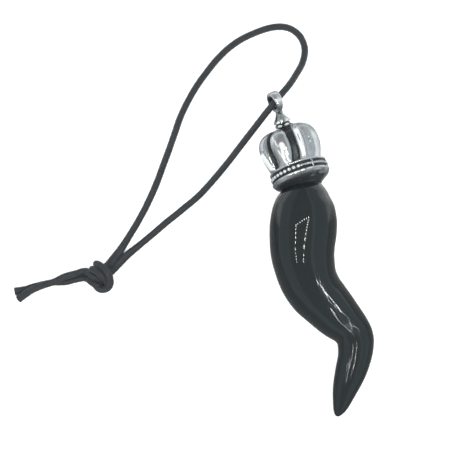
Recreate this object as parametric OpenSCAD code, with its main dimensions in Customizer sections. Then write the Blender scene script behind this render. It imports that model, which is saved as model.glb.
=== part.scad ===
// Cornicello: a black S-curved horn in a cast crown cap, hung on a loop of waxed cord.
// It lies on a surface at Z = 0, with the bail end towards +Y and the tip towards -Y.
// Lengths are in millimetres.

/* [Horn] */
// Length of the horn from its seat in the cap to the tip, along Y
horn_len = 51.3; // [44:0.1:60]
// Greatest diameter of the horn
horn_d = 14.6; // [13:0.1:15.6]
// How far the lower bend swings sideways from the neck
horn_sway = 11.8; // [8:0.1:14]
// Diameter of the peg that is glued into the cap
peg_d = 6; // [4:0.1:6.6]
// Length of the peg inside the cap
peg_len = 4.5; // [3:0.1:7]
// Clearance between the horn and the cap all round
seat_gap = 0.12; // [0.08:0.02:0.25]

/* [Crown cap] */
// Greatest diameter over the lobes
crown_d = 13.9; // [13:0.1:15]
// Height of the lobed part, from the band to the collar
lobe_h = 9.3; // [8:0.1:12]
// Width of the dark slot between two lobes
slot_w = 2.1; // [1.6:0.1:2.4]
// Depth of the slot at the middle of the lobes
slot_depth = 1.5; // [0.8:0.1:2]
// How much lower a lobe's edges lie than its crest
lobe_bulge = 0.65; // [0.1:0.05:0.8]
// Diameter of the band round the mouth
band_d = 12.8; // [12.4:0.1:13.4]
// Height of the foot and the band together
band_h = 4.95; // [4.4:0.05:6]
// Number of beads round the band
bead_count = 36; // [24:1:40]
// Diameter of a bead
bead_d = 0.66; // [0.5:0.02:0.8]
// Sideways lean of the cap's axis, seen from above
cap_lean = 18.5; // [10:0.5:26]
// How far the cap's bail end points down
cap_pitch = 12.5; // [6:0.5:16]

/* [Bail] */
// Diameter of the collar and the bell under the ring
collar_d = 3.5; // [3:0.1:4.2]
// Height of the ring's centre over the collar
ring_rise = 6.05; // [5.8:0.05:7]
// Diameter of the eye that the cord passes through
eye_d = 2.8; // [2.6:0.1:3.4]
// Thickness of the ring, measured outwards from the eye
ring_thick = 1; // [0.8:0.05:1.3]
// Width of the ring along the eye
ring_w = 1.6; // [0.9:0.05:1.7]
// How far the ring is turned from side on
ring_turn = 20; // [15:1:40]
// How far the bail is bent up from the cap's axis
bail_bend = 18.5; // [5:0.5:25]

/* [Cord] */
// Diameter of the waxed cord
cord_d = 1.5; // [1:0.1:1.6]

/* [Hidden] */

// Fineness of the swept and revolved shapes
horn_sides = 28;
horn_steps = 2;
round_fn = 28;
band_fn = 60;
bead_fn = 8;
cord_sides = 8;

horn_r = horn_d / 2;
crown_r = crown_d / 2;
band_r = band_d / 2;
collar_r = collar_d / 2;
eye_r = eye_d / 2;
cord_r = cord_d / 2;

// The foot and band of the cap, from the mouth up. Columns: height as a share of band_h,
// radius as a share of band_r.
foot_rows = [
    [0.00, 0.58], [0.09, 0.67], [0.21, 0.80], [0.30, 0.90], [0.37, 0.96], [0.45, 1.00],
    [0.51, 1.01], [0.545, 0.99], [0.57, 0.94], [0.62, 0.94], [0.65, 0.965], [0.81, 0.965],
    [0.84, 0.94], [0.885, 0.94], [0.91, 0.985], [0.98, 0.985], [1.00, 0.90]
];
// The lobed part, from the band up. Columns: height as a share of lobe_h, radius as a share of
// crown_r, slot depth as a share of its own, bulge as a share of lobe_bulge, how far a slot
// reaches to its left and to its right as shares of half its width, sink as a share of its own.
lobe_rows = [
    [-0.03, 0.865, 0.75, 0.5, 1.50, 0.50, 0], [0.03, 0.865, 0.75, 0.5, 1.48, 0.52, 0],
    [0.11, 0.895, 0.85, 0.8, 1.25, 0.70, 0], [0.22, 0.945, 0.95, 1.0, 0.92, 0.88, 0],
    [0.34, 0.985, 1.00, 1.0, 0.76, 0.92, 0], [0.46, 1.00, 1.00, 1.0, 0.74, 0.88, 0],
    [0.57, 1.00, 1.00, 1.0, 0.86, 0.90, 0], [0.68, 0.978, 1.05, 1.0, 1.00, 0.98, 0.1],
    [0.77, 0.935, 1.10, 1.0, 1.16, 1.08, 0.4], [0.85, 0.86, 1.20, 1.0, 1.26, 1.16, 0.8],
    [0.91, 0.75, 1.35, 0.9, 1.30, 1.16, 1], [0.95, 0.645, 1.25, 0.8, 1.30, 1.10, 1],
    [0.97, 0.53, 1.00, 0.6, 1.20, 1.00, 1], [0.975, 0.42, 0.65, 0.3, 1.10, 1.00, 1],
    [0.97, 0.33, 0.30, 0.0, 1.00, 1.00, 1]
];
// The slots between the lobes. Columns: turn, width as a share of slot_w, depth as a share of
// slot_depth, then how far the lobe after the slot stands low and how far its top is sunk, both
// as shares of lobe_bulge.
slots = [
    [-140, 1.00, 1.00, 0.00, 0.75], [-85.5, 1.00, 0.87, 0.00, 0], [-60, 0.40, 0.30, 0.45, 0],
    [15, 1.00, 1.00, 0.15, 0], [65, 1.00, 1.00, 0.37, 0], [115, 1.00, 1.00, 0.00, 0],
    [165, 1.00, 1.00, 0.00, 0]
];
// The horn's axis from its seat down. Columns: way down as a share of horn_len, swing as a share
// of horn_sway, gap under the horn as a share of that under the neck, girth as a share of horn_r.
horn_rows = [
    [0.000, 0.000, 1.00, 0.49], [0.036, 0.000, 0.78, 0.70], [0.058, 0.000, 0.68, 0.795],
    [0.080, 0.002, 0.60, 0.873], [0.102, 0.005, 0.54, 0.928], [0.153, 0.005, 0.49, 0.99],
    [0.204, -0.006, 0.47, 1.00], [0.280, -0.016, 0.47, 0.96], [0.338, 0.016, 0.43, 0.918],
    [0.409, 0.104, 0.33, 0.865], [0.472, 0.254, 0.20, 0.85], [0.512, 0.398, 0.13, 0.82],
    [0.573, 0.642, 0.03, 0.775], [0.626, 0.879, 0.01, 0.65], [0.687, 0.997, 0.01, 0.548],
    [0.745, 0.972, 0.00, 0.507], [0.811, 0.893, 0.01, 0.466], [0.885, 0.794, 0.04, 0.37],
    [0.954, 0.717, 0.10, 0.235], [0.984, 0.675, 0.17, 0.14], [0.997, 0.655, 0.23, 0.06]
];
// The peg from its top down to the seat. Columns: height as a share of peg_len, girth as a share
// of the peg's radius.
peg_rows = [[1.00, 0.60], [0.96, 0.85], [0.86, 0.99], [0.65, 1.00], [0.40, 1.02]];

// The cap's axis in the lying part, towards the bail
cap_up = [-sin(cap_lean) * cos(cap_pitch), cos(cap_lean) * cos(cap_pitch), -sin(cap_pitch)];
// The foot reaches below the seat
foot_drop = 0.21 * band_h;
lobe_base = band_h - foot_drop;
cap_top = lobe_base + lobe_h;

// Where the seat of the horn lies: the crown rests on a lobe, and the whole is centred along Y
lobe_contact = 0.965;
seat_z = max([for (row = lobe_rows)
    (lobe_base + row[0] * lobe_h) * sin(cap_pitch)
        + lobe_contact * row[1] * crown_r * cos(cap_pitch)]);
cap_reach = (cap_top * cos(cap_pitch) + ring_rise + eye_r + ring_thick) * cos(cap_lean);
seat_y = (horn_len - cap_reach) / 2;
seat_x = -0.255 * horn_sway;
seat = [seat_x, seat_y, seat_z];
neck_r = horn_rows[0][3] * horn_r;
neck_gap = seat_z - neck_r;

// The cord's route, by hand. The long side goes from the eye round the top and down to the knot.
long_route = [
    [-9.0, 33.5, 6.4], [-7.8, 35.0, 6.2], [-5.9, 37.3, 5.1], [-4.3, 39.8, 3.3], [-3.0, 42.2, 1.9],
    [-2.4, 44.6, 1.1], [-2.6, 46.7, 0.8], [-3.7, 48.7, 0.8], [-5.7, 50.1, 0.8], [-8.1, 50.5, 0.8],
    [-10.7, 50.1, 0.8], [-13.3, 49.2, 0.8], [-16.3, 47.8, 0.8], [-19.2, 45.8, 0.8],
    [-21.7, 43.4, 0.8], [-24.0, 40.6, 0.8], [-26.5, 37.1, 0.8], [-28.5, 33.6, 0.8],
    [-30.0, 30.4, 0.8], [-31.1, 27.2, 0.8], [-32.5, 23.2, 0.8], [-33.9, 19.4, 0.8],
    [-35.4, 15.4, 0.8], [-37.3, 11.2, 0.8], [-39.3, 7.4, 0.8], [-41.3, 4.1, 0.8],
    [-43.1, 1.5, 0.8], [-45.1, -1.0, 0.9], [-46.0, -2.1, 1.2]
];
// The short side goes from the eye past the crown, straight down to the knot.
short_route = [
    [-9.0, 33.5, 6.4], [-10.2, 32.0, 6.6], [-11.5, 30.4, 6.3], [-13.8, 27.5, 4.9],
    [-16.4, 24.2, 3.3], [-19.3, 20.5, 1.9], [-22.4, 16.8, 1.1], [-25.8, 13.1, 0.8],
    [-29.6, 9.9, 0.8], [-33.3, 6.9, 0.8], [-36.7, 4.0, 0.8], [-39.6, 1.5, 0.8],
    [-42.0, -0.7, 0.8], [-43.6, -2.3, 0.9], [-44.6, -3.3, 1.2]
];
// The tails leave the knot side by side, and one crosses over the other.
over_route = [
    [-51.3, -3.7, 1.2], [-53.0, -4.1, 1.6], [-55.5, -4.9, 2.3], [-58.0, -6.1, 2.5],
    [-60.2, -6.8, 2.5], [-62.6, -7.8, 2.5], [-64.2, -8.8, 2.1], [-65.7, -9.8, 1.4]
];
under_route = [
    [-51.3, -5.3, 1.0], [-53.0, -5.6, 0.8], [-55.5, -6.1, 0.8], [-58.0, -6.2, 0.8],
    [-60.2, -6.6, 0.8], [-62.6, -7.2, 0.8], [-64.4, -7.8, 0.8], [-66.7, -8.2, 0.8]
];
// The knot's lumps. Columns: place, then radius.
wrap_lumps = [[-49.0, -3.5, 2.4, 2.3], [-46.8, -6.1, 2.4, 2.4]];
heart_lumps = [[-46.6, -3.6, 1.9, 1.8], [-49.2, -6.7, 2.0, 1.9], [-49.9, -4.8, 1.7, 1.6]];
// The faces that the strands and the tails meet
strand_face = [-46.0, -2.1, 0];
strand_turn = 50;
tail_face = [-51.0, -4.5, 0];
face_gap = 0.1;

// A vector of length one
function unit(v) = v / norm(v);
// The direction of a line of points at point i
function heading(line, i) =
    unit(line[min(i + 1, len(line) - 1)] - line[max(i - 1, 0)]);
// A point on a smooth curve through b and c, with a before and d after them
function between(a, b, c, d, t) =
    0.5 * (2 * b + (c - a) * t + (2 * a - 5 * b + 4 * c - d) * t * t
        + (3 * b - a - 3 * c + d) * t * t * t);
// The same line with steps points for each of its spans
function smoothed(line, steps) = [
    for (i = [0:len(line) - 2], k = [0:steps - 1])
        between(line[max(i - 1, 0)], line[i], line[i + 1], line[min(i + 2, len(line) - 1)],
            k / steps),
    line[len(line) - 1]
];
// One ring of a sweep, square to the way it goes
function ring(centre, way, radius, sides) =
    let (left = unit(cross([0, 0, 1], way)), up = cross(way, left))
    [for (k = [0:sides - 1])
        let (turn = 360 * k / sides)
        centre + radius * (cos(turn) * left + sin(turn) * up)];
// Triangles of a closed sweep of count rings
function skin(count, sides) = concat(
    [[for (k = [0:sides - 1]) k]],
    [for (i = [0:count - 2], k = [0:sides - 1])
        let (a = i * sides + k, b = i * sides + (k + 1) % sides)
        [a, a + sides, b]],
    [for (i = [0:count - 2], k = [0:sides - 1])
        let (a = i * sides + k, b = i * sides + (k + 1) % sides)
        [b, a + sides, b + sides]],
    [[for (k = [sides - 1:-1:0]) (count - 1) * sides + k]]
);

// A swept solid. Each row holds a place and a radius.
module sweep(rows, sides) {
    line = [for (row = rows) [row[0], row[1], row[2]]];
    rings = [for (i = [0:len(rows) - 1]) ring(line[i], heading(line, i), rows[i][3], sides)];
    polyhedron([for (r = rings) each r], skin(len(rows), sides));
}

// The horn's place and radius at each of its rows, grown by extra
function peg_line(extra) = [for (row = peg_rows)
    let (at = seat + row[0] * (peg_len + extra) * cap_up)
    [at[0], at[1], at[2], row[1] * peg_d / 2 + extra]];
function horn_line(extra) = [for (row = horn_rows)
    [seat_x + row[1] * horn_sway, seat_y - row[0] * horn_len,
        row[3] * horn_r + row[2] * neck_gap, row[3] * horn_r + extra]];

// The horn's body, or with extra the hollow that it is glued into
module horn_body(extra = 0) {
    sweep(smoothed(concat(peg_line(extra), horn_line(extra)), horn_steps), horn_sides);
}

module horn() {
    color("#1b2023") horn_body();
}

// Columns across a slot: place as a share of its reach, and 1 where the column is on its floor
slot_columns = [[-1, 0], [-0.8, 1], [0, 1], [0.8, 1], [1, 0]];
// Columns across a lobe: place from its middle as a share of half its width
lobe_columns = [-0.86, -0.62, -0.32, 0, 0.32, 0.62, 0.86];
// The most that half of a slot takes of the turn, and how square a lobe's section is
slot_half_most = 14;
lobe_square = 2.4;

// Half of a slot's width as an angle
function slot_half(radius, share) =
    min(asin(min(share * slot_w / 2 / radius, 1)), share * slot_half_most);

// One ring of the lobed part: for each slot its columns, then those of the lobe after it
function lobe_ring(height, radius, depth, bulge, left, right, sunk) =
    [for (i = [0:len(slots) - 1])
        let (slot = slots[i],
            before = slots[(i + len(slots) - 1) % len(slots)],
            after = slots[(i + 1) % len(slots)],
            edge_r = radius - bulge,
            floor_r = radius - depth * slot[2] - lobe_bulge * (before[3] + slot[3]) / 2,
            start = slot[0] + slot_half(radius, slot[1]) * right,
            end = after[0] - slot_half(radius, after[1]) * left
                + (i == len(slots) - 1 ? 360 : 0))
        each concat(
            [for (column = slot_columns)
                let (turn = slot[0]
                        + column[0] * slot_half(radius, slot[1]) * (column[0] < 0 ? left : right),
                    low = lobe_bulge * (column[0] < 0 ? before[3] : slot[3]),
                    r = column[1] == 1 ? min(floor_r, edge_r - low) : edge_r - low,
                    drop = lobe_bulge * (before[4] + (slot[4] - before[4]) * (column[0] + 1) / 2))
                [r * cos(turn), r * sin(turn), height - drop * sunk]],
            [for (share = lobe_columns)
                let (turn = (start + end) / 2 + share * (end - start) / 2,
                    r = radius - lobe_bulge * slot[3] - bulge * pow(abs(share), lobe_square))
                [r * cos(turn), r * sin(turn), height - lobe_bulge * slot[4] * sunk]]
        )];

// The foot and band, with the seat at the origin and the bail towards +Z
module foot() {
    outline = [for (row = foot_rows) [row[1] * band_r, row[0] * band_h - foot_drop]];
    rotate_extrude($fn = band_fn)
        polygon(concat([[0, -foot_drop]], outline, [[0, lobe_base]]));
}

// The lobes over the band, in one skin
module lobes() {
    rings = [for (row = lobe_rows)
        lobe_ring(lobe_base + row[0] * lobe_h, row[1] * crown_r, row[2] * slot_depth,
            row[3] * lobe_bulge, row[4], row[5], row[6])];
    polyhedron([for (r = rings) each r], skin(len(rings), len(rings[0])));
}

// The bead row's height over the band's foot, and the arc that has a plain bar in its place
bead_level = 0.73 * band_h - foot_drop;
bead_seat = 0.97 * band_r;
bar_from = -60;
bar_to = -4;
bar_h = 0.38 * band_h;

// Oval beads round the band, and the upright bar where their row ends
module beads() {
    for (i = [0:bead_count - 1]) {
        turn = -180 + i * 360 / bead_count;
        if (turn < bar_from || turn > bar_to)
            rotate([0, 0, turn]) translate([bead_seat, 0, bead_level]) hull()
                for (side = [-1, 1]) translate([0, side * bead_d / 4, 0])
                    sphere(d = bead_d, $fn = bead_fn);
    }
    for (turn = [bar_from, bar_to])
        rotate([0, 0, turn])
            translate([bead_seat - bead_d, -bead_d / 2, bead_level - bar_h / 2])
            cube([bead_d * 1.3, bead_d, bar_h]);
}

// The collar, its ring of beads and the bell, turned about the bail's axis. Columns: radius as a
// share of collar_r, height as a share of ring_rise.
bell_rows = [
    [0.00, -0.20], [1.24, -0.20], [1.26, -0.12], [1.31, -0.08], [1.31, -0.01], [1.20, 0.015],
    [0.70, 0.035], [0.70, 0.165], [0.92, 0.18], [0.97, 0.22], [0.93, 0.27], [0.80, 0.35],
    [0.64, 0.44], [0.51, 0.53], [0.41, 0.61], [0.35, 0.68], [0.00, 0.72]
];
module bell() {
    rotate_extrude($fn = round_fn)
        polygon([for (row = bell_rows) [row[0] * collar_r, row[1] * ring_rise]]);
}

// The beads round the collar, and the stem that joins the bell to the ring's near side
collar_beads = 8;
collar_bead_d = 0.48 * collar_r;
collar_bead_level = 0.098 * ring_rise;
stem = [0.14 * collar_r, -0.2 * collar_r, ring_rise - 0.98 * (eye_r + ring_thick)];
module collar_and_stem() {
    for (i = [0:collar_beads - 1])
        rotate([0, 0, (i + 0.34) * 360 / collar_beads])
            translate([0.76 * collar_r, 0, collar_bead_level]) hull()
                for (side = [-1, 1]) translate([0, side * collar_bead_d / 6, 0])
                    sphere(d = collar_bead_d, $fn = bead_fn);
    translate(stem) sphere(r = 0.35 * collar_r, $fn = round_fn / 2);
}

// The cast ring: a rounded flat section swept round the eye
ring_sides = 28;
ring_section = [
    [1.00, 0.30], [0.80, 0.50], [0.20, 0.50], [0.00, 0.25], [0.00, -0.25], [0.20, -0.50],
    [0.80, -0.50], [1.00, -0.30]
];
module bail_ring() {
    sides = len(ring_section);
    points = [for (i = [0:ring_sides - 1], row = ring_section)
        let (turn = 360 * i / ring_sides,
            r = eye_r + row[0] * ring_thick,
            wide = ring_w * (1 + 0.3 * sin(turn)))
        [row[1] * wide, r * cos(turn), r * sin(turn)]];
    faces = [for (i = [0:ring_sides - 1], k = [0:sides - 1], half = [0, 1])
        let (a = i * sides + k,
            b = i * sides + (k + 1) % sides,
            c = ((i + 1) % ring_sides) * sides + k,
            d = ((i + 1) % ring_sides) * sides + (k + 1) % sides)
        half == 0 ? [a, b, c] : [b, d, c]];
    rotate([0, 0, ring_turn]) polyhedron(points, faces);
}

module crown_cap() {
    color("#c9cbcc") difference() {
        translate(seat) rotate([-90 - cap_pitch, 0, cap_lean]) {
            foot();
            lobes();
            beads();
            translate([0, 0, cap_top]) rotate([bail_bend, 0, 0]) {
                bell();
                collar_and_stem();
                translate([0, 0, ring_rise]) bail_ring();
            }
        }
        horn_body(seat_gap);
    }
}

// A stretch of cord along a hand-chosen route
module cord(route) {
    color("#22262a") sweep([for (at = route) [at[0], at[1], at[2], cord_r]], cord_sides);
}

module cord_long_side() {
    cord(long_route);
}

module cord_short_side() {
    cord(short_route);
}

module cord_tail_over() {
    cord(over_route);
}

module cord_tail_under() {
    cord(under_route);
}

// Lumps of the knot in one smooth skin
module lumps(rows) {
    hull() for (row = rows) translate([row[0], row[1], row[2]]) sphere(r = row[3], $fn = 14);
}

// The knot's outer shape, cut flat where the strands come in and where the tails go out
module cord_knot() {
    cut = 8 * cord_d;
    color("#22262a") difference() {
        union() {
            lumps(wrap_lumps);
            lumps(heart_lumps);
        }
        translate(strand_face) rotate([0, 0, strand_turn]) translate([-face_gap, -cut / 2, -1])
            cube(cut);
        translate(tail_face) translate([face_gap - cut, -cut / 2, -1]) cube(cut);
    }
}

horn();
crown_cap();
cord_long_side();
cord_short_side();
cord_knot();
cord_tail_over();
cord_tail_under();
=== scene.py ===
import math

import bpy
from mathutils import Matrix, Vector, noise


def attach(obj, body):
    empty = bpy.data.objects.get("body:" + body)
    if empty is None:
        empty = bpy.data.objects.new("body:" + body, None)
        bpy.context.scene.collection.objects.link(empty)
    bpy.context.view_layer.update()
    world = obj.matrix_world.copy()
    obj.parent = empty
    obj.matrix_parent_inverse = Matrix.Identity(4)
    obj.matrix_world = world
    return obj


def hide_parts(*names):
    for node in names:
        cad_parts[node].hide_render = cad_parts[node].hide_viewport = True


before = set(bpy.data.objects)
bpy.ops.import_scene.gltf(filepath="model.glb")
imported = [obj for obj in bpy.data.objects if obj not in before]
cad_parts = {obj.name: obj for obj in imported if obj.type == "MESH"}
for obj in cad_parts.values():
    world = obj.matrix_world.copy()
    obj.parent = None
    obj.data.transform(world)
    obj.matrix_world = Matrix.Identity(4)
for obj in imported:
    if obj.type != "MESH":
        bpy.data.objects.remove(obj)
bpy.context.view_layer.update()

# The light tent of white cloth. The pendant lies on its floor, and the camera looks straight down
# through the opening in its roof. The roof is greyer than the walls, because less light falls on
# it, and the seams that it is sewn with along its two sides are lighter.
mm = 0.001
camera_height = 400 * mm
picture_width = 105.6 * mm
picture_middle = (-17.3 * mm, 3.75 * mm)
sensor_width = 36

camera_data = bpy.data.cameras.new("camera")
camera_data.sensor_width = sensor_width
camera_data.lens = sensor_width * camera_height / picture_width
camera = bpy.data.objects.new("camera", camera_data)
camera.location = (*picture_middle, camera_height)
bpy.context.collection.objects.link(camera)
bpy.context.scene.camera = camera
bpy.context.scene.view_settings.view_transform = "Standard"


def new_node(tree, kind, **settings):
    """A shader node with its settings. Names that are sockets set the socket's value."""
    node = tree.nodes.new(kind)
    for name, value in settings.items():
        socket = node.inputs.get(name.replace("_", " "))
        if socket is not None:
            socket.default_value = value
        else:
            setattr(node, name, value)
    return node


def number(tree, operation, first, second=None):
    """A Math node on sockets or plain numbers, which gives back its output."""
    node = tree.nodes.new("ShaderNodeMath")
    node.operation = operation
    for place, value in enumerate((first, second)):
        if isinstance(value, bpy.types.NodeSocket):
            tree.links.new(value, node.inputs[place])
        elif value is not None:
            node.inputs[place].default_value = value
    return node.outputs[0]


def ramp(tree, value, low, high, low_out=0.0, high_out=1.0):
    """A smooth step of value from low to high."""
    node = tree.nodes.new("ShaderNodeMapRange")
    node.interpolation_type = "SMOOTHSTEP"
    tree.links.new(value, node.inputs["Value"])
    node.inputs["From Min"].default_value = low
    node.inputs["From Max"].default_value = high
    node.inputs["To Min"].default_value = low_out
    node.inputs["To Max"].default_value = high_out
    return node.outputs["Result"]


def inside(tree, value, low, high, soft):
    """One between low and high, with soft edges."""
    rise = ramp(tree, value, low - soft, low + soft)
    fall = ramp(tree, value, high - soft, high + soft, 1.0, 0.0)
    return number(tree, "MULTIPLY", rise, fall)


wall_light = 0.80
roof_light = 0.46
seam_light = 0.42
wall_tint = (0.86, 0.97, 1.0, 1)
roof_tint = (1.0, 1.0, 0.97, 1)
# Edges of the roof and its seams as slopes from the vertical. The roof runs on at its far side.
roof_left = -1.25
roof_right = 0.58
roof_near = -4.0
roof_far = 30
roof_side_soft = 0.2
roof_end_soft = 0.5
right_seam_width = 0.22
right_seam_soft = 0.12
left_seam_gap = 0.05
left_seam_width = 0.25
left_seam_soft = 0.20
left_seam_share = 0.5
least_upward = 0.02

world = bpy.data.worlds.new("light_tent")
bpy.context.scene.world = world
world.use_nodes = True
sky = world.node_tree
sky.nodes.clear()
direction = sky.nodes.new("ShaderNodeTexCoord").outputs["Generated"]
split = sky.nodes.new("ShaderNodeSeparateXYZ")
sky.links.new(direction, split.inputs[0])
upward = number(sky, "MAXIMUM", split.outputs["Z"], least_upward)
slope_x = number(sky, "DIVIDE", split.outputs["X"], upward)
slope_y = number(sky, "DIVIDE", split.outputs["Y"], upward)
across = inside(sky, slope_x, roof_left, roof_right, roof_side_soft)
along = inside(sky, slope_y, roof_near, roof_far, roof_end_soft)
roof = number(sky, "MULTIPLY", across, along)
right_seam = inside(sky, slope_x, roof_right, roof_right + right_seam_width, right_seam_soft)
left_seam_end = roof_left - left_seam_gap
left_seam = inside(sky, slope_x, left_seam_end - left_seam_width, left_seam_end, left_seam_soft)
seams = number(sky, "ADD", right_seam, number(sky, "MULTIPLY", left_seam, left_seam_share))
light = number(sky, "SUBTRACT", wall_light, number(sky, "MULTIPLY", roof, wall_light - roof_light))
light = number(sky, "ADD", light, number(sky, "MULTIPLY", seams, seam_light))
tint = sky.nodes.new("ShaderNodeMix")
tint.data_type = "RGBA"
tint.inputs["A"].default_value = wall_tint
tint.inputs["B"].default_value = roof_tint
sky.links.new(roof, tint.inputs["Factor"])
background = sky.nodes.new("ShaderNodeBackground")
sky.links.new(tint.outputs["Result"], background.inputs["Color"])
sky.links.new(light, background.inputs["Strength"])
sky_out = sky.nodes.new("ShaderNodeOutputWorld")
sky.links.new(background.outputs[0], sky_out.inputs["Surface"])


def new_object(name, points, faces):
    """A mesh object from points in metres and faces, smooth shaded."""
    mesh = bpy.data.meshes.new(name)
    mesh.from_pydata([tuple(point) for point in points], [], faces)
    mesh.polygons.foreach_set("use_smooth", [True] * len(mesh.polygons))
    mesh.update()
    thing = bpy.data.objects.new(name, mesh)
    bpy.context.collection.objects.link(thing)
    return thing


def new_material(name):
    """A material with its shader, and its node tree."""
    material = bpy.data.materials.new(name)
    material.use_nodes = True
    tree = material.node_tree
    return material, tree, tree.nodes["Principled BSDF"]


# The floor is in two pieces of the same cloth. The one by the horn shows in no reflection.
floor_half = 1.2
floor_white = (0.82, 0.83, 0.83, 1)
floor_glow = 0.42
card_left = -350 * mm
card_right = 350 * mm
card_near = -450 * mm
card_far = 19 * mm
card_corners = [
    (card_left, card_near), (card_right, card_near), (card_right, card_far), (card_left, card_far),
]
floor = new_object(
    "tent_floor",
    [(x * floor_half, y * floor_half, 0) for x, y in ((-1, -1), (1, -1), (1, 1), (-1, 1))]
    + [(*corner, 0) for corner in card_corners],
    [(0, 1, 5, 4), (1, 2, 6, 5), (2, 3, 7, 6), (3, 0, 4, 7)],
)
floor_by_horn = new_object(
    "tent_floor_by_horn", [(*corner, 0) for corner in card_corners], [(0, 1, 2, 3)]
)
floor_by_horn.visible_glossy = False
floor_paint, tree, shader = new_material("white_tent_cloth")
shader.inputs["Base Color"].default_value = floor_white
shader.inputs["Roughness"].default_value = 0.9
shader.inputs["Specular IOR Level"].default_value = 0.0
shader.inputs["Emission Color"].default_value = (1, 1, 1, 1)
shader.inputs["Emission Strength"].default_value = floor_glow
floor.data.materials.append(floor_paint)
floor_by_horn.data.materials.append(floor_paint)

# A grey card under the floor by the horn, which only reflections see. It keeps the white floor out
# of the horn's glossy edges, as a photographer's card does, and it turns white towards the cap.
card_drop = 0.2 * mm
card_fade = 10 * mm
card_light = 0.32
card_white = 1.0
card = new_object(
    "grey_card", [(*corner, -card_drop) for corner in card_corners], [(0, 1, 2, 3)]
)
card_paint, tree, shader = new_material("grey_card")
place = tree.nodes.new("ShaderNodeTexCoord")
split = tree.nodes.new("ShaderNodeSeparateXYZ")
tree.links.new(place.outputs["Object"], split.inputs[0])
shader.inputs["Base Color"].default_value = (0, 0, 0, 1)
shader.inputs["Specular IOR Level"].default_value = 0.0
shader.inputs["Emission Color"].default_value = (1, 1, 1, 1)
tree.links.new(
    ramp(tree, split.outputs["Y"], card_far - card_fade, card_far, card_light, card_white),
    shader.inputs["Emission Strength"],
)
card.data.materials.append(card_paint)
card.visible_camera = False
card.visible_diffuse = False
card.visible_shadow = False

# The lamps: small round ones in three strips round the tent's opening, which the horn mirrors as
# rows of dots. Columns: how many lamps a strip has, then its two ends as slopes from the vertical
# over the horn.
lamp_height = 400 * mm
lamp_radius = 7 * mm
lamp_sides = 8
lamp_light = 90.0
lamp_tint = (1.0, 0.99, 0.96, 1)
lamp_origin = Vector((-3.4, 3.2, 0)) * mm
lamp_strips = [
    (10, (-0.50, 0.03), (-0.50, -0.67)), (7, (-0.50, 0.08), (0.26, 0.31)),
    (12, (0.27, 0.30), (0.0, -0.56)),
]
lamp_points = []
lamp_faces = []
for count, start, end in lamp_strips:
    for i in range(count):
        slope = Vector(start).lerp(Vector(end), i / (count - 1))
        middle = lamp_origin + Vector((slope.x, slope.y, 1)) * lamp_height
        first = len(lamp_points)
        for k in range(lamp_sides):
            turn = 2 * math.pi * k / lamp_sides
            lamp_points.append(
                middle + Vector((math.cos(turn), math.sin(turn), 0)) * lamp_radius
            )
        lamp_faces.append([first + k for k in range(lamp_sides)])
lamps = new_object("lamp_strips", lamp_points, lamp_faces)
lamp_paint, tree, shader = new_material("lamp_light")
shader.inputs["Base Color"].default_value = (0, 0, 0, 1)
shader.inputs["Emission Color"].default_value = lamp_tint
shader.inputs["Emission Strength"].default_value = lamp_light
lamps.data.materials.append(lamp_paint)
lamps.visible_camera = False

# The fill light from straight above, which has no shadows and shows in no reflection
fill_light = 0.9
fill = bpy.data.objects.new("fill_light", bpy.data.lights.new("fill_light", "SUN"))
fill.data.energy = fill_light
fill.data.use_shadow = False
fill.visible_glossy = False
bpy.context.collection.objects.link(fill)

# The cord: one length of black waxed cotton cord, braided round, 1.5 mm thick. It goes through the
# ring, and both its ends are tied in one overhand knot. The ends past the knot are cut off short.
cord_radius = 0.75
long_side_route = [
    (-9.0, 33.5, 6.4), (-7.8, 35.0, 6.2), (-5.9, 37.3, 5.1), (-4.3, 39.8, 3.3), (-3.0, 42.2, 1.9),
    (-2.4, 44.6, 1.1), (-2.6, 46.7, 0.8), (-3.7, 48.7, 0.8), (-5.7, 50.1, 0.8), (-8.1, 50.5, 0.8),
    (-10.7, 50.1, 0.8), (-13.3, 49.2, 0.8), (-16.3, 47.8, 0.8), (-19.2, 45.8, 0.8),
    (-21.7, 43.4, 0.8), (-24.0, 40.6, 0.8), (-26.5, 37.1, 0.8), (-28.5, 33.6, 0.8),
    (-30.0, 30.4, 0.8), (-31.1, 27.2, 0.8), (-32.5, 23.2, 0.8), (-33.9, 19.4, 0.8),
    (-35.4, 15.4, 0.8), (-37.3, 11.2, 0.8), (-39.3, 7.4, 0.8), (-41.3, 4.1, 0.8),
    (-43.0, 1.4, 0.8), (-44.9, -1.2, 0.9), (-45.8, -2.3, 1.2),
]
short_side_route = [
    (-9.0, 33.5, 6.4), (-10.2, 32.0, 6.6), (-11.5, 30.4, 6.3), (-13.8, 27.5, 4.9),
    (-16.4, 24.2, 3.3), (-19.3, 20.5, 1.9), (-22.4, 16.8, 1.1), (-25.8, 13.1, 0.8),
    (-29.6, 9.9, 0.8), (-33.3, 6.9, 0.8), (-36.7, 4.0, 0.8), (-39.6, 1.6, 0.8),
    (-42.2, -0.5, 0.8), (-43.8, -2.1, 0.9), (-44.7, -3.1, 1.2),
]
over_tail_route = [
    (-51.3, -3.7, 1.2), (-53.0, -4.2, 1.6), (-55.5, -4.9, 2.3), (-58.0, -6.1, 2.5),
    (-60.2, -6.8, 2.5), (-62.6, -7.8, 2.5), (-64.2, -8.8, 2.1), (-65.7, -9.8, 1.4),
]
under_tail_route = [
    (-51.3, -5.2, 1.0), (-53.0, -5.5, 0.8), (-55.5, -6.1, 0.8), (-58.0, -6.2, 0.8),
    (-60.2, -6.6, 0.8), (-62.6, -7.2, 0.8), (-64.4, -7.8, 0.8), (-66.7, -8.2, 0.8),
]
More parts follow.
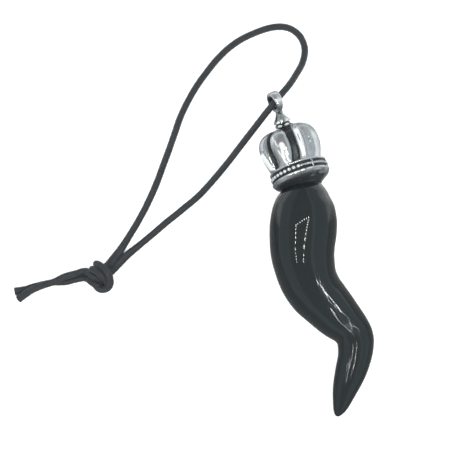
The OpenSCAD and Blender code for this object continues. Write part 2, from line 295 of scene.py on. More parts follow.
# The pair's way through the knot. Columns: distance along the way in, distance to its left and
# height, then the direction from the short side's strand to the long side's.
knot_middle = Vector((-47.3, -4.65, 0))
knot_along = Vector((-0.64, -0.77, 0))
knot_left = Vector((-0.77, 0.64, 0))
knot_tight = 0.93
strand_spread = 1.03
knot_route = [
    (-1.8, -0.2, 2.0, 0.0, 1.0, 0.1), (-0.3, 0.1, 2.4, 0.0, 1.0, 0.2),
    (1.2, 0.2, 2.4, 0.0, 1.0, 0.4), (2.2, -0.6, 2.2, 0.5, 0.5, 0.7),
    (2.3, -1.9, 2.2, 0.5, 0.0, 0.85), (1.4, -2.8, 2.4, 0.0, -0.3, 0.95),
    (0.2, -2.6, 3.3, -0.4, -0.2, 0.9), (-0.6, -1.4, 4.1, -0.8, 0.0, 0.6),
    (-0.9, 0.1, 4.5, -1.0, 0.0, 0.0), (-0.9, 1.7, 3.9, -1.0, 0.0, 0.0),
    (-0.6, 2.7, 2.8, -1.0, 0.0, 0.0), (-0.2, 2.4, 1.4, -1.0, 0.0, 0.0),
    (0.2, 1.1, 0.8, -1.0, 0.0, 0.0), (0.6, -0.4, 0.8, -1.0, 0.0, 0.0),
    (1.1, -1.3, 1.4, -1.0, 0.0, 0.0), (1.5, -1.0, 2.6, -0.9, 0.3, 0.0),
    (1.9, 0.1, 3.3, -0.8, 0.6, 0.0), (2.1, 1.4, 2.8, -0.77, 0.64, 0.0),
    (2.1, 2.3, 1.8, -0.77, 0.64, 0.0),
]


def knot_strand(side):
    """The way of one of the knot's two strands. side is 1 for the long side's, -1 for the other."""
    strand = []
    for along, left, height, *turned in knot_route:
        middle = knot_middle + (knot_along * along + knot_left * left) * knot_tight
        middle.z = height
        towards = knot_along * turned[0] + knot_left * turned[1] + Vector((0, 0, turned[2]))
        strand.append(middle + towards.normalized() * (side * cord_radius * strand_spread))
    return strand


def smoothed(rows, step):
    """Points on a smooth curve through rows, about step apart. A row may have any columns."""
    rows = [tuple(row) for row in rows]
    line = []
    for i in range(len(rows) - 1):
        before, here = rows[max(i - 1, 0)], rows[i]
        there, after = rows[i + 1], rows[min(i + 2, len(rows) - 1)]
        count = max(1, round(math.dist(here[:3], there[:3]) / step))
        for k in range(count):
            t = k / count
            line.append(tuple(
                0.5 * (2 * b + (c - a) * t + (2 * a - 5 * b + 4 * c - d) * t * t
                       + (3 * b - a - 3 * c + d) * t * t * t)
                for a, b, c, d in zip(before, here, there, after)
            ))
    line.append(rows[-1])
    return line


def swept(name, line, radius_at, sides, look=1):
    """A tube along line, in millimetres. radius_at(i, way along, turn) gives its radius. A ring is
    square to the way from look points before it to look points after it. The UVs are the way along
    in millimetres and the way round."""
    points = []
    places = [Vector(at[:3]) for at in line]
    way_along = [0.0]
    for i in range(1, len(places)):
        way_along.append(way_along[-1] + (places[i] - places[i - 1]).length)
    left = None
    for i, at in enumerate(places):
        way = (places[min(i + look, len(places) - 1)] - places[max(i - look, 0)]).normalized()
        if left is None:
            left = Vector((0, 0, 1)).cross(way).normalized()
        left = (left - way * left.dot(way)).normalized()
        up = way.cross(left)
        for k in range(sides):
            turn = 2 * math.pi * k / sides
            radius = radius_at(i, way_along[i], turn)
            points.append((at + (left * math.cos(turn) + up * math.sin(turn)) * radius) * mm)
    faces = []
    for i in range(len(places) - 1):
        for k in range(sides):
            a, b = i * sides + k, i * sides + (k + 1) % sides
            faces.append((a, b, b + sides, a + sides))
    last = (len(places) - 1) * sides
    points += [places[0] * mm, places[-1] * mm]
    for k in range(sides):
        faces.append((len(points) - 2, (k + 1) % sides, k))
        faces.append((len(points) - 1, last + k, last + (k + 1) % sides))
    tube = new_object(name, points, faces)
    lengthways = tube.data.uv_layers.new(name="lengthways")
    for polygon in tube.data.polygons:
        ks = [tube.data.loops[loop].vertex_index for loop in polygon.loop_indices]
        seam = len(ks) == 4 and any(k % sides == sides - 1 for k in ks)
        for loop, k in zip(polygon.loop_indices, ks):
            ring, place = min(k // sides, len(places) - 1), k % sides
            if k >= len(places) * sides:
                ring, place = (0 if k == len(points) - 2 else len(places) - 1), 0
            if seam and place == 0:
                place = sides
            lengthways.data[loop].uv = (way_along[ring], place / sides)
    return tube


# The braid: four pairs of yarns run each way round, and each crossing is a low bump. Wax fills most
# of it and makes the cord a little lumpy. Lengths are in millimetres.
braid_yarns = 4
braid_pitch = 2.6
braid_rise = 0.022
braid_core = 0.985
lump_rise = 0.035
lumps_along = 0.45
lumps_round = 3.1
cord_step = 0.22
cord_sides = 28


def cord_radius_at(ring, along, turn):
    """The cord's radius with the bumps of its braid and the unevenness of its wax."""
    forward = math.sin(braid_yarns * turn + 2 * math.pi * along / braid_pitch)
    backward = math.sin(braid_yarns * turn - 2 * math.pi * along / braid_pitch)
    lump = noise.noise(Vector((
        along * lumps_along, lumps_round * math.cos(turn), lumps_round * math.sin(turn)
    )))
    return cord_radius * braid_core + braid_rise * forward * backward + lump_rise * lump


# How the cord swells, as shares of its radius, and over how many rings of the tube: at its cut end,
# where the braid opens and frays, and where it goes in the knot and comes out, squeezed flat.
end_flare = 0.24
end_flare_rings = 9
fray = 0.05
fray_threads = 7
fray_rings = 2
squeeze_in = 0.34
squeeze_in_rings = 17
squeeze_out = 0.2
squeeze_out_rings = 12


def cut_cord(line, knot_start, knot_end):
    """The radius function of a strand that is cut off at its far end and squeezed by the knot."""
    last_ring = len(line) - 1

    def radius(ring, along, turn):
        to_end = last_ring - ring
        spread = 1 + end_flare * math.exp(-to_end / end_flare_rings)
        frayed = 1 + fray * math.sin(fray_threads * turn) * math.exp(-to_end / fray_rings)
        squeeze = squeeze_in * math.exp(-((ring - knot_start) / squeeze_in_rings) ** 2)
        squeeze += squeeze_out * math.exp(-((ring - knot_end) / squeeze_out_rings) ** 2)
        flat = math.cos(turn) ** 2 * squeeze
        return cord_radius_at(ring, along, turn) * (spread * frayed + flat)
    return radius


# Waxed cotton: black, a little paler where the wax is rubbed off the fibres
cotton_black = (0.010, 0.012, 0.0155, 1)
cotton_rubbed = (0.030, 0.034, 0.041, 1)
cord_paint, tree, shader = new_material("black_waxed_cotton")
shader.inputs["Roughness"].default_value = 0.62
shader.inputs["Sheen Weight"].default_value = 0.12
shader.inputs["Sheen Roughness"].default_value = 0.5
lengthways = tree.nodes.new("ShaderNodeTexCoord")
uv = tree.nodes.new("ShaderNodeSeparateXYZ")
tree.links.new(lengthways.outputs["UV"], uv.inputs[0])
round_turn = number(tree, "MULTIPLY", uv.outputs["Y"], 2 * math.pi * braid_yarns)
along_turn = number(tree, "MULTIPLY", uv.outputs["X"], 2 * math.pi / braid_pitch)
forward = number(tree, "SINE", number(tree, "ADD", round_turn, along_turn))
backward = number(tree, "SINE", number(tree, "SUBTRACT", round_turn, along_turn))
braid = number(tree, "MULTIPLY", forward, backward)
fibres = new_node(tree, "ShaderNodeTexNoise", Scale=2600.0, Detail=6.0, Roughness=0.65)
tree.links.new(lengthways.outputs["Object"], fibres.inputs["Vector"])
wax = new_node(tree, "ShaderNodeTexNoise", Scale=520.0, Detail=3.0)
tree.links.new(lengthways.outputs["Object"], wax.inputs["Vector"])
cord_shade = tree.nodes.new("ShaderNodeValToRGB")
cord_shade.color_ramp.elements[0].position = 0.30
cord_shade.color_ramp.elements[0].color = cotton_black
cord_shade.color_ramp.elements[1].position = 0.78
cord_shade.color_ramp.elements[1].color = cotton_rubbed
mixed = number(tree, "ADD", number(tree, "MULTIPLY", fibres.outputs["Fac"], 0.55),
               number(tree, "MULTIPLY", wax.outputs["Fac"], 0.45))
tree.links.new(mixed, cord_shade.inputs["Fac"])
tree.links.new(cord_shade.outputs["Color"], shader.inputs["Base Color"])
relief = number(tree, "ADD", number(tree, "MULTIPLY", braid, 0.5), fibres.outputs["Fac"])
cord_bump = new_node(tree, "ShaderNodeBump", Strength=0.55, Distance=0.05 * mm)
tree.links.new(relief, cord_bump.inputs["Height"])
tree.links.new(cord_bump.outputs["Normal"], shader.inputs["Normal"])


rings_in_knot = 8
for name, side_route, side, tail_route, nodes in (
    ("cord_long_strand", long_side_route, 1, over_tail_route,
     ("cord_long_side", "cord_tail_over", "cord_knot")),
    ("cord_short_strand", short_side_route, -1, under_tail_route,
     ("cord_short_side", "cord_tail_under", "cord_knot")),
):
    line = smoothed([*side_route, *knot_strand(side), *tail_route], cord_step)
    knot_start = len(smoothed(side_route, cord_step)) - rings_in_knot
    knot_end = len(line) - len(smoothed(tail_route, cord_step))
    strand = swept(name, line, cut_cord(line, knot_start, knot_end), cord_sides)
    strand.data.materials.append(cord_paint)
    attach(strand, "root")
    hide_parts(*nodes)

# The horn: cast black resin, polished to a high gloss. It is stout at the neck, swings to the right
# and back, and ends in a blunt tip. A peg on its top is glued in the cap.
horn_length = 51.3
horn_radius = 7.3
horn_sway = 11.8
peg_radius = 3.0
peg_length = 4.5
horn_black = (0.015, 0.0195, 0.021, 1)
# Where the horn's top sits in the cap, and how the cap leans to the left and down to the surface
cap_lean = math.radians(18.5)
cap_pitch = math.radians(12.5)
seat = Vector((-0.255 * horn_sway, 15.436, 8.663))
cap_up = Vector((
    -math.sin(cap_lean) * math.cos(cap_pitch),
    math.cos(cap_lean) * math.cos(cap_pitch),
    -math.sin(cap_pitch),
))
# The horn's axis from its seat down. Columns: way down as a share of horn_length, swing as a share
# of horn_sway, gap under the horn as a share of that under the neck, girth as a share of
# horn_radius, and how far its top leans to the right.
horn_rows = [
    (0.000, 0.000, 1.00, 0.49, 0), (0.036, 0.000, 0.78, 0.70, 0), (0.058, 0.000, 0.68, 0.795, 0),
    (0.080, 0.002, 0.60, 0.873, 0), (0.102, 0.005, 0.54, 0.928, 0), (0.153, 0.005, 0.49, 0.99, 0),
    (0.204, -0.006, 0.47, 1.00, 0), (0.280, -0.016, 0.47, 0.96, 0), (0.338, 0.016, 0.43, 0.918, 0.05),
    (0.409, 0.104, 0.33, 0.865, 0.14), (0.466, 0.252, 0.20, 0.825, 0.18),
    (0.512, 0.436, 0.13, 0.775, 0.18), (0.567, 0.661, 0.05, 0.705, 0.16),
    (0.618, 0.878, 0.03, 0.605, 0.12), (0.655, 0.973, 0.01, 0.57, 0.08),
    (0.691, 0.996, 0.01, 0.545, 0.04),
    (0.745, 0.972, 0.00, 0.507, 0), (0.811, 0.893, 0.01, 0.466, 0), (0.885, 0.794, 0.04, 0.37, 0),
    (0.954, 0.717, 0.10, 0.235, 0), (0.984, 0.675, 0.17, 0.14, 0), (0.997, 0.655, 0.23, 0.06, 0),
]
# The peg from its end down. Columns: height as a share of peg_length, girth as a share of peg_radius.
peg_rows = [(1.00, 0.60), (0.96, 0.85), (0.86, 0.99), (0.65, 1.00), (0.40, 1.02)]
horn_step = 0.30
horn_sides = 96
neck_gap = seat.z - horn_rows[0][3] * horn_radius
horn_line = [
    (*(seat + cap_up * height * peg_length), girth * peg_radius, 0) for height, girth in peg_rows
]
for down, swing, gap, girth, lean in horn_rows:
    horn_line.append((
        seat.x + swing * horn_sway,
        seat.y - down * horn_length,
        girth * horn_radius + gap * neck_gap,
        girth * horn_radius,
        lean,
    ))
horn_line = smoothed(horn_line, horn_step)


def horn_radius_at(ring, along, turn):
    """The horn's radius. Its upper half leans to the right without getting wider."""
    radius, lean = horn_line[ring][3:]
    upward = max(math.sin(turn), 0.0)
    return radius * (1 + lean * math.cos(turn) * upward * upward)


horn = swept("horn_body", horn_line, horn_radius_at, horn_sides, look=9)

# Polished resin: handling leaves faint smears in the gloss, and the casting is very slightly wavy
horn_paint, tree, shader = new_material("polished_black_resin")
shader.inputs["Base Color"].default_value = horn_black
shader.inputs["IOR"].default_value = 1.38
place = tree.nodes.new("ShaderNodeTexCoord")
smears = new_node(tree, "ShaderNodeTexNoise", Scale=160.0, Detail=5.0, Roughness=0.6)
tree.links.new(place.outputs["Object"], smears.inputs["Vector"])
tree.links.new(ramp(tree, smears.outputs["Fac"], 0.35, 0.75, 0.035, 0.11),
               shader.inputs["Roughness"])
waves = new_node(tree, "ShaderNodeTexNoise", Scale=190.0, Detail=1.0)
tree.links.new(place.outputs["Object"], waves.inputs["Vector"])
horn_bump = new_node(tree, "ShaderNodeBump", Strength=0.35, Distance=0.12 * mm)
tree.links.new(waves.outputs["Fac"], horn_bump.inputs["Height"])
tree.links.new(horn_bump.outputs["Normal"], shader.inputs["Normal"])
horn.data.materials.append(horn_paint)
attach(horn, "root")
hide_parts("horn")

# The narrow lamps, which show as fine dots on the horn's lower bend. Each beam is so narrow that it
# meets the horn in one spot only. Columns: how many lamps a strip has, then the places of its dots
# in the picture, counted in 475ths of its width from its top left corner.
beam_length = 420 * mm
beam_angle = math.radians(1.6)
beam_soft = 0.3
beam_lamp_radius = 2.6 * mm
beam_power = 0.05
picture_size = 475
dot_strips = [
    (22, (318, 283), (325, 292), (333, 301), (340, 310), (346, 316), (351, 322), (352, 331)),
    (11, (331, 309), (334, 315), (338, 320), (344, 326), (350, 331)),
    (7, (354, 335), (355, 342), (356, 348), (356, 355)), (4, (350, 357), (349, 361), (348, 364)),
]


def mirrored_way(across, down):
    """Where the horn mirrors a place in the picture, as a point and a direction from it."""
    share = Vector((across, picture_size - down)) / picture_size - Vector((0.5, 0.5))
    place = Vector((*picture_middle, 0)) + Vector((*share, 0)) * picture_width
    way = (place - camera.location).normalized()
    _, at, _, face = horn.ray_cast(camera.location, way)
    normal = Vector((0, 0, 0))
    for index in horn.data.polygons[face].vertices:
        vertex = horn.data.vertices[index]
        normal += vertex.normal / max((vertex.co - at).length, 0.001 * mm)
    return at, way.reflect(normal.normalized())


bpy.context.view_layer.update()
for count, *places in dot_strips:
    line = smoothed([(across, down, 0) for across, down in places], 0.25)
    for i in range(count):
        at, way = mirrored_way(*line[round(i * (len(line) - 1) / (count - 1))][:2])
        beam = bpy.data.objects.new("narrow_lamp", bpy.data.lights.new("narrow_lamp", "SPOT"))
        beam.data.energy = beam_power
        beam.data.spot_size = beam_angle
        beam.data.spot_blend = beam_soft
        beam.data.shadow_soft_size = beam_lamp_radius
        beam.location = at + way * beam_length
        beam.rotation_euler = way.to_track_quat("Z", "Y").to_euler()
        bpy.context.collection.objects.link(beam)

# The crown cap: one zinc casting, silver plated, blackened all over and then polished, so that the
# black stays in the slots between its lobes, in the grooves of its band and inside its foot. It is
# glued on the horn's peg. Lengths are in millimetres.
band_radius = 6.4
band_height = 4.95
crown_radius = 6.95
lobe_height = 9.3
slot_width = 2.1
slot_depth = 1.5
foot_drop = 0.21 * band_height
lobe_base = band_height - foot_drop
cap_top = lobe_base + lobe_height
to_cap = (
    Matrix.Translation(seat)
    @ Matrix.Rotation(cap_lean, 4, "Z")
    @ Matrix.Rotation(math.radians(-90) - cap_pitch, 4, "X")
)


def turned(place, turn):
    """A place turned about its upright axis by a turn in degrees."""
    return place @ Matrix.Rotation(math.radians(turn), 4, "Z")


def with_painted_light(patches, level, turn, patina_and_painted_light):
    """The tone of a place at a level and a turn, once its patches of painted light are added. Columns
    of patches: turn in degrees, level as a share, half of the reach in degrees, half of the height as
    a share, and how much it is brightened as a painted highlight, below 0 where it is darkened as
    painted shade."""
    for middle, patch_level, reach, rise, brightening in patches:
        far = math.hypot((turn - middle) / reach, (level - patch_level) / rise)
        patina_and_painted_light -= brightening * max(1 - far * far, 0.0)
    return patina_and_painted_light


# How far out of its middle a bead's black has faded away, as a share of its half size
bead_fade = 0.3


class Casting:
    """The points, faces and tone of one casting, put together part by part. The tone is 1 where the
    metal is black, 0 where it is plain and -1 where it is bright. Black is the patina in the recesses
    and also painted shade. Bright is wear and also painted highlights."""

    def __init__(self):
        self.points = []
        self.faces = []
        self.patina_and_painted_light = []

    def skin(self, rings, place):
        """A closed round skin through rings of (x, y, z, tone), each with as many points."""
        first = len(self.points)
        sides = len(rings[0])
        for ring in rings:
            for x, y, z, patina_and_painted_light in ring:
                self.points.append(place @ Vector((x, y, z)))
                self.patina_and_painted_light.append(patina_and_painted_light)
        for i in range(len(rings) - 1):
            for k in range(sides):
                a, b = first + i * sides + k, first + i * sides + (k + 1) % sides
                self.faces.append((a, b, b + sides, a + sides))

    def lathe(self, rows, step, place, patches, low, span):
        """A revolved skin with a point every step degrees. Columns of rows: radius, height, tone. The
        patches of painted light count heights from low as shares of span."""
        rings = []
        for radius, height, patina_and_painted_light in rows:
            rings.append([(
                radius * math.cos(math.radians(turn)),
                radius * math.sin(math.radians(turn)),
                height,
                with_painted_light(patches, (height - low) / span, turn, patina_and_painted_light),
            ) for turn in range(-180, 180, step)])
        self.skin(rings, place)

    def ball(self, middle, size, place, sides, shine):
        """A bead. size is its three half sizes. It is black where it sinks in its groove, and shine
        says how far its top is worn bright."""
        turns = [2 * math.pi * k / sides for k in range(sides)]
        rings = []
        for i in range(sides // 2 + 1):
            fall = math.pi * 2 * i / sides
            patina_and_painted_light = min(max((bead_fade - math.cos(fall)) / bead_fade, -shine), 1.0)
            rings.append([(
                middle[0] + size[0] * math.cos(fall),
                middle[1] + size[1] * math.sin(fall) * math.cos(turn),
                middle[2] + size[2] * math.sin(fall) * math.sin(turn),
                patina_and_painted_light,
            ) for turn in reversed(turns)])
        self.skin(rings, place)


cap = Casting()

# The foot and the band, from inside the mouth up. Columns: radius as a share of band_radius, height
# as a share of band_height, tone. The patches are painted highlights on its front.
foot_rows = [
    (0.50, 0.16, 1.0), (0.56, 0.02, 1.0), (0.60, 0.00, 1.0), (0.67, 0.09, 1.0), (0.80, 0.21, 0.95),
    (0.90, 0.30, 0.85), (0.955, 0.36, 0.75), (0.985, 0.42, 0.55), (1.01, 0.47, 0.20),
    (1.015, 0.51, -0.15), (1.00, 0.545, 0.0), (0.975, 0.56, 0.8), (0.94, 0.575, 1.0),
    (0.935, 0.63, 1.0), (0.94, 0.73, 1.0), (0.935, 0.83, 1.0), (0.94, 0.885, 1.0),
    (0.975, 0.90, 0.5), (0.995, 0.925, -0.2), (1.00, 0.955, -0.2), (0.985, 0.985, 0.2),
    (0.955, 0.995, 0.6), (0.90, 1.00, 0.9),
]
foot_patches = [
    (-50, 0.41, 15, 0.05, 0.5), (-38, 0.30, 12, 0.07, 0.45), (-24, 0.36, 10, 0.12, 0.5),
    (-128, 0.41, 26, 0.07, 0.35), (-99, 0.48, 4, 0.06, 1.3), (-84, 0.50, 3.5, 0.05, 1.3),
    (-62, 0.22, 9, 0.04, 0.25), (-112, 0.50, 9, 0.05, 0.5), (-70, 0.50, 8, 0.05, 0.5),
]
foot_line = smoothed([
    (radius * band_radius, height * band_height - foot_drop, patina_and_painted_light)
    for radius, height, patina_and_painted_light in foot_rows
], 0.12)
cap.lathe(foot_line, 2, to_cap, foot_patches, -foot_drop, band_height)

# Round beads in the band's groove. In one stretch a plain ridge takes their place, with an upright
# bar in it and another at its end. Sizes are half sizes: out of the band, along it and up.
bead_count = 36
bead_size = (0.42, 0.49, 0.44)
bar_size = (0.42, 0.26, 1.0)
ridge_size = (0.38, 0.42, 0.31)
bead_place = (0.955 * band_radius, 0, 0.73 * band_height - foot_drop)
bar_turns = (-60, -4)
ridge_start = -84
ridge_end = -8
ridge_step = 4
for i in range(bead_count):
    turn = -180 + i * 360 / bead_count
    if not ridge_start < turn < ridge_end:
        cap.ball(bead_place, bead_size, turned(to_cap, turn), 16, 0.5)
for turn in bar_turns:
    cap.ball(bead_place, bar_size, turned(to_cap, turn), 16, 0.1)
for turn in range(ridge_start, ridge_end + 1, ridge_step):
    cap.ball(bead_place, ridge_size, turned(to_cap, turn), 12, 0.2)

# The lobes. Columns: height as a share of lobe_height, radius as a share of crown_radius, depth of
# the slots as a share of their own, bulge of the lobes as a share of lobe_bulge, how far a slot
# reaches to its left and to its right as shares of half its width, and sink as a share of its own.
lobe_bulge = 0.65
lobe_rows = [
    (-0.03, 0.865, 0.75, 0.5, 1.50, 0.50, 0), (0.03, 0.865, 0.75, 0.5, 1.48, 0.52, 0),
    (0.11, 0.895, 0.85, 0.8, 1.25, 0.70, 0), (0.22, 0.945, 0.95, 1.0, 0.92, 0.88, 0),
    (0.34, 0.985, 1.00, 1.0, 0.76, 0.92, 0), (0.46, 1.00, 1.00, 1.0, 0.74, 0.88, 0),
    (0.57, 1.00, 1.00, 1.0, 0.86, 0.90, 0), (0.68, 0.978, 1.05, 1.0, 1.00, 0.98, 0.1),
    (0.77, 0.935, 1.10, 1.0, 1.16, 1.08, 0.4), (0.85, 0.86, 1.20, 1.0, 1.26, 1.16, 0.8),
    (0.91, 0.75, 1.35, 0.9, 1.30, 1.16, 1), (0.95, 0.645, 1.25, 0.8, 1.30, 1.10, 1),
    (0.97, 0.53, 1.00, 0.6, 1.20, 1.00, 1), (0.975, 0.42, 0.65, 0.3, 1.10, 1.00, 1),
    (0.97, 0.33, 0.30, 0.0, 1.00, 1.00, 1),
]
# The slots between the lobes. Columns: turn in degrees, width as a share of slot_width, depth as a
# share of slot_depth, blackness, then how far the lobe after the slot stands lower than
# crown_radius and how far its top is sunk, in millimetres.
slots = [
    (-140, 1.00, 1.00, 1.0, 0.0, 0.5), (-85.5, 1.00, 0.87, 1.0, 0.0, 0.0),
    (-60, 0.40, 0.30, 0.25, 0.3, 0.0), (15, 1.00, 1.00, 1.0, 0.1, 0.0),
    (65, 1.00, 1.00, 1.0, 0.24, 0.0), (115, 1.00, 1.00, 1.0, 0.0, 0.0),
    (165, 1.00, 1.00, 1.0, 0.0, 0.0),
]
slot_half_most = math.radians(14)
# The points of a slot's section, from its left edge to its right one, the share of its half width
# that a wall takes, and between which shares of the wall's depth the black begins and is full
slot_section = (-1.0, -0.93, -0.88, -0.80, -0.4, 0.0, 0.4, 0.80, 0.88, 0.93, 1.0)
wall_share = 0.2
black_from = 0.3
black_full = 0.7
lobe_columns = 22
lobe_squareness = 2.4


def slot_half(radius, width):
    """Half of a slot's width as an angle in radians."""
    half = math.asin(min(width * slot_width / 2 / radius, 1.0))
    return min(half, width * slot_half_most)


# Painted highlights and painted shade on the front of the lobes, as strokes, each over the ones
# before it: below 0 a stroke is a painted highlight, above 0 it is painted shade. Columns: from and
# to, each as millimetres across from the cap's axis and up from stroke_base as the cap lies, then
# half width and tone. An edge is soft over one half width.
stroke_base = 2.72
strokes = [
    (-5.5, 11.5, 7.0, 11.0, 1.5, 0.22), (2.5, 9.8, 7.0, 7.9, 0.9, 0.34),
    (7.0, 7.6, 6.8, 2.5, 0.45, 0.45), (-2.6, 10.2, -2.5, 9.4, 0.9, 0.20),
    (-6.1, 8.8, -6.0, 7.6, 0.8, 0.12), (-6.4, 5.6, -5.5, 2.8, 0.7, -1.0),
    (-6.2, 6.8, -5.0, 2.6, 0.12, 0.5), (-4.5, 7.4, -3.6, 3.4, 0.55, 0.32),
    (-2.6, 8.1, -1.2, 8.3, 0.35, 0.42), (-1.6, 5.2, -1.6, 3.4, 0.55, -0.15),
    (-1.95, 6.7, -1.85, 6.2, 0.62, -1.0), (-3.3, 8.8, -2.85, 6.5, 0.11, -0.9),
    (-3.05, 5.8, -2.4, 3.2, 0.12, -0.9), (2.1, 8.7, 2.1, 3.4, 0.55, -0.8),
    (2.05, 7.8, 2.2, 5.2, 0.07, 0.6), (3.9, 8.6, 3.8, 4.0, 0.35, 0.22),
    (5.1, 5.6, 4.9, 3.4, 0.5, 0.05), (6.0, 5.6, 5.7, 3.6, 0.4, 0.10),
    (4.25, 6.6, 4.25, 6.6, 0.15, -1.0), (4.3, 6.1, 4.3, 6.1, 0.12, 0.6),
    (4.25, 5.65, 4.3, 5.5, 0.13, -1.0), (2.85, 4.6, 2.85, 3.4, 0.13, -0.8),
]


def stroked_at(x, y, z):
    """The painted highlights and painted shade of a place on the lobes. The back has no strokes."""
    up = math.cos(cap_pitch) * (z - stroke_base) - math.sin(cap_pitch) * y
    patina_and_painted_light = 0.0
    if y > 0:
        return patina_and_painted_light
    for x0, up0, x1, up1, width, strength in strokes:
        stroke = Vector((x1 - x0, up1 - up0))
        way = Vector((x - x0, up - up0))
        share = way.dot(stroke) / stroke.dot(stroke) if stroke.length > 0 else 0.0
        far = (way - stroke * min(max(share, 0.0), 1.0)).length
        weight = min(max((width * 1.5 - far) / width, 0.0), 1.0)
        patina_and_painted_light += (strength - patina_and_painted_light) * weight
    return patina_and_painted_light


def lobe_ring(height, radius, depth, bulge, left_reach, right_reach, sunk):
    """One ring of the lobed part: for each slot its floor and walls, then the lobe after it."""
    ring = []

    def add(turn, out, drop, black):
        at = (out * math.cos(turn), out * math.sin(turn), height - drop * sunk)
        # Where the slots are not black, the lobes take the painted highlights and painted shade of
        # the strokes.
        ring.append((*at, black if black > 0 else stroked_at(*at)))

    for i, (turn, width, deep, blackness, low, sink) in enumerate(slots):
        low_before, sink_before = slots[i - 1][4:]
        after_turn, after_width = slots[(i + 1) % len(slots)][:2]
        if i == len(slots) - 1:
            after_turn += 360
        middle = math.radians(turn)
        left = slot_half(radius, width) * left_reach
        right = slot_half(radius, width) * right_reach
        bottom = radius - depth * deep * slot_depth - (low_before + low) / 2
        for x in slot_section:
            top = radius - (low_before if x < 0 else low) - bulge * lobe_bulge
            wall = min(max((1 - abs(x)) / wall_share, 0.0), 1.0)
            wall = wall * wall * (3 - 2 * wall)
            drop = sink_before + (sink - sink_before) * (x + 1) / 2
            black = min(max((wall - black_from) / (black_full - black_from), 0.0), 1.0)
            add(middle + x * (left if x < 0 else right), top + (min(bottom, top) - top) * wall,
                drop, blackness * black)
        start = middle + right
        end = math.radians(after_turn) - slot_half(radius, after_width) * left_reach
        for k in range(1, lobe_columns):
            share = 2 * k / lobe_columns - 1
            out = radius - low - bulge * lobe_bulge * abs(share) ** lobe_squareness
            add(start + (end - start) * k / lobe_columns, out, sink, 0.0)
    return ring


lobe_line = smoothed([
    (lobe_base + height * lobe_height, radius * crown_radius, *shares)
    for height, radius, *shares in lobe_rows
], 0.2)
cap.skin([lobe_ring(*row) for row in lobe_line], to_cap)

# The bail, cast with the cap: a collar with beads round it, a bell, and on a short stem the ring
# that the cord goes through. It leans back from the cap's axis.
collar_radius = 1.75
ring_rise = 6.05
bail_bend = math.radians(18.5)
to_bail = to_cap @ Matrix.Translation((0, 0, cap_top)) @ Matrix.Rotation(bail_bend, 4, "X")
# The collar and the bell from below. Columns: radius as a share of collar_radius, height as a share
# of ring_rise, tone. The patches are painted highlights and painted shade on the bell's front.
bell_rows = [
    (1.24, -0.20, 1.0), (1.25, -0.13, 0.9), (1.29, -0.10, 0.3), (1.31, -0.07, -0.3),
    (1.31, -0.01, -0.3), (1.27, 0.015, 0.2), (1.12, 0.03, 0.8), (0.95, 0.035, 1.0),
    (0.72, 0.05, 1.0), (0.70, 0.12, 1.0), (0.72, 0.20, 1.0),
    (0.96, 0.208, 0.9), (1.06, 0.225, 0.3), (1.08, 0.25, -0.2), (1.01, 0.30, 0.0),
    (0.83, 0.37, 0.2), (0.64, 0.45, 0.35), (0.50, 0.53, 0.45), (0.40, 0.61, 0.5),
    (0.34, 0.68, 0.6), (0.33, 0.74, 0.8),
]
bell_patches = [
    (-118, 0.27, 17, 0.06, 1.0), (-92, 0.30, 13, 0.07, 1.1), (-80, 0.265, 7, 0.045, -1.2),
    (-106, 0.25, 4, 0.05, -0.8), (-55, 0.27, 14, 0.05, 0.6), (-100, 0.50, 14, 0.035, 1.0),
    (-60, 0.40, 25, 0.05, -0.2), (-150, 0.38, 22, 0.20, -0.7),
]
bell_line = smoothed([
    (radius * collar_radius, height * ring_rise, patina_and_painted_light) for radius, height, patina_and_painted_light in bell_rows
], 0.08)
cap.lathe(bell_line, 4, to_bail, bell_patches, 0, ring_rise)
collar_beads = 6
collar_bead_size = (0.44, 0.66, 0.42)
collar_bead_place = (0.80 * collar_radius, 0, 0.125 * ring_rise)
for i in range(collar_beads):
    cap.ball(collar_bead_place, collar_bead_size, turned(to_bail, 360 * i / collar_beads), 16, 0.6)
stem_middle = (0.25, -0.35, ring_rise - 2.35)
stem_size = (0.62, 0.62, 0.75)
cap.ball(stem_middle, stem_size, to_bail, 24, -0.4)

# The ring, wider at its top. It is black where it faces the eye and has painted shade at its back.
# Its front has a painted highlight a little above the middle and is darker below. Columns of its
# section: out from the eye as a share of ring_thick, across as a share of ring_width, tone.
ring_turn = 20
eye_radius = 1.4
ring_thick = 1.0
ring_width = 1.6
ring_swell = 0.3
ring_turns = 72
bright_middle = math.pi - 0.10
dull_middle = math.pi + 0.75
ring_section = [
    (1.00, 0.20, 0.15), (0.96, 0.38, 0.15), (0.78, 0.50, 0.25), (0.50, 0.52, 0.35),
    (0.20, 0.48, 0.8), (0.03, 0.34, 1.0), (0.00, 0.00, 1.0), (0.03, -0.34, 1.0),
    (0.20, -0.48, 0.8), (0.50, -0.52, 0.35), (0.78, -0.50, 0.25), (0.96, -0.38, 0.15),
    (1.00, -0.20, 0.15), (1.01, 0.00, 0.15),
]
ring_rings = []
for i in range(ring_turns + 1):
    turn = 2 * math.pi * i / ring_turns
    wide = ring_width * (1 + ring_swell * math.sin(turn))
    # Painted shade on the ring's back, a painted highlight on its front and a darker stretch below
    # that
    shaded = min(max(math.cos(turn) * 2.0 - 0.2, 0.0), 1.0)
    bright = 0.7 * max(math.cos(turn - bright_middle), 0) ** 14
    dull = 0.5 * max(math.cos(turn - dull_middle), 0) ** 10
    ring_rings.append([(
        across * wide,
        (eye_radius + out * ring_thick) * math.cos(turn),
        (eye_radius + out * ring_thick) * math.sin(turn),
        max(patina_and_painted_light, shaded) if shaded > 0 else patina_and_painted_light - bright + dull,
    ) for out, across, patina_and_painted_light in ring_section])
cap.skin(ring_rings, turned(to_bail @ Matrix.Translation((0, 0, ring_rise)), ring_turn))

cap_object = new_object("crown_cap_casting", [point * mm for point in cap.points], cap.faces)
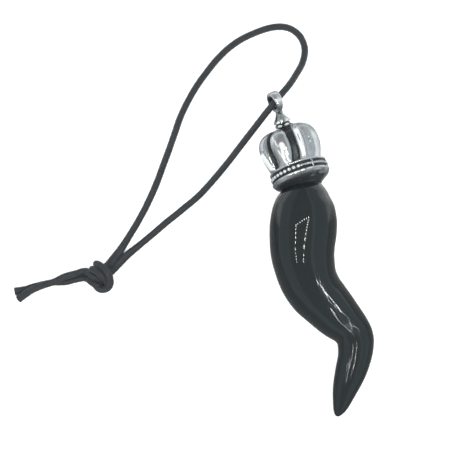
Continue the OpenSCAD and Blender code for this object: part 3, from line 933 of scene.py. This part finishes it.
# The casting's tone: patina and wear, with its painted highlights and painted shade
patina_and_painted_light_values = cap_object.data.attributes.new("patina_and_painted_light", "FLOAT", "POINT")
patina_and_painted_light_values.data.foreach_set("value", cap.patina_and_painted_light)

# Worn silver plate: frosty white where it is worn and where highlights are painted, smooth and grey
# where it is plain, and black in the recesses and where shade is painted. Fine specks and larger
# blotches of tarnish break up the edges between them.
silver_plain = (0.50, 0.515, 0.53, 1)
silver_rubbed_and_highlit = (0.97, 0.99, 0.98, 1)
silver_black_and_shade = (0.034, 0.038, 0.040, 1)
silver, tree, shader = new_material("worn_silver_with_painted_light")
place = tree.nodes.new("ShaderNodeTexCoord")
shader.inputs["Specular Tint"].default_value = (0.36, 0.38, 0.40, 1)
patina_and_painted_light = new_node(tree, "ShaderNodeAttribute", attribute_name="patina_and_painted_light")
grime = new_node(tree, "ShaderNodeTexNoise", Scale=900.0, Detail=5.0, Roughness=0.7)
tree.links.new(place.outputs["Object"], grime.inputs["Vector"])
blotches = new_node(tree, "ShaderNodeTexNoise", Scale=330.0, Detail=2.0, Roughness=0.5)
tree.links.new(place.outputs["Object"], blotches.inputs["Vector"])
grimy = number(tree, "MULTIPLY", number(tree, "SUBTRACT", grime.outputs["Fac"], 0.5), 0.9)
spotty = number(tree, "MULTIPLY", grimy, ramp(tree, patina_and_painted_light.outputs["Fac"], 0.0, 0.35, 0.15, 0.7))
tarnish_and_painted_shade = number(tree, "ADD", number(tree, "MULTIPLY", patina_and_painted_light.outputs["Fac"], 1.15), spotty)
tarnish_and_painted_shade = number(tree, "MINIMUM", number(tree, "MAXIMUM", tarnish_and_painted_shade, 0.0), 1.0)
rough_edge = number(tree, "MULTIPLY", number(tree, "SUBTRACT", blotches.outputs["Fac"], 0.5), 0.3)
bright = number(tree, "ADD", number(tree, "MULTIPLY", patina_and_painted_light.outputs["Fac"], -1.0), rough_edge)
bright = ramp(tree, bright, 0.10, 0.90)
bare = tree.nodes.new("ShaderNodeMix")
bare.data_type = "RGBA"
bare.inputs["A"].default_value = silver_plain
bare.inputs["B"].default_value = silver_rubbed_and_highlit
tree.links.new(bright, bare.inputs["Factor"])
shade = tree.nodes.new("ShaderNodeMix")
shade.data_type = "RGBA"
shade.inputs["B"].default_value = silver_black_and_shade
tree.links.new(bare.outputs["Result"], shade.inputs["A"])
tree.links.new(tarnish_and_painted_shade, shade.inputs["Factor"])
tree.links.new(shade.outputs["Result"], shader.inputs["Base Color"])
metal = number(tree, "SUBTRACT", 1.0, number(tree, "MULTIPLY", tarnish_and_painted_shade, 0.75))
tree.links.new(number(tree, "SUBTRACT", metal, number(tree, "MULTIPLY", bright, 0.65)),
               shader.inputs["Metallic"])
tree.links.new(ramp(tree, blotches.outputs["Fac"], 0.35, 0.70, 0.16, 0.30),
               shader.inputs["Roughness"])
cast_relief = number(tree, "ADD", blotches.outputs["Fac"],
                     number(tree, "MULTIPLY", grime.outputs["Fac"], 0.10))
cast_bump = new_node(tree, "ShaderNodeBump", Strength=0.6, Distance=0.25 * mm)
tree.links.new(cast_relief, cast_bump.inputs["Height"])
tree.links.new(cast_bump.outputs["Normal"], shader.inputs["Normal"])
cap_object.data.materials.append(silver)
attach(cap_object, "root")
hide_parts("crown_cap")
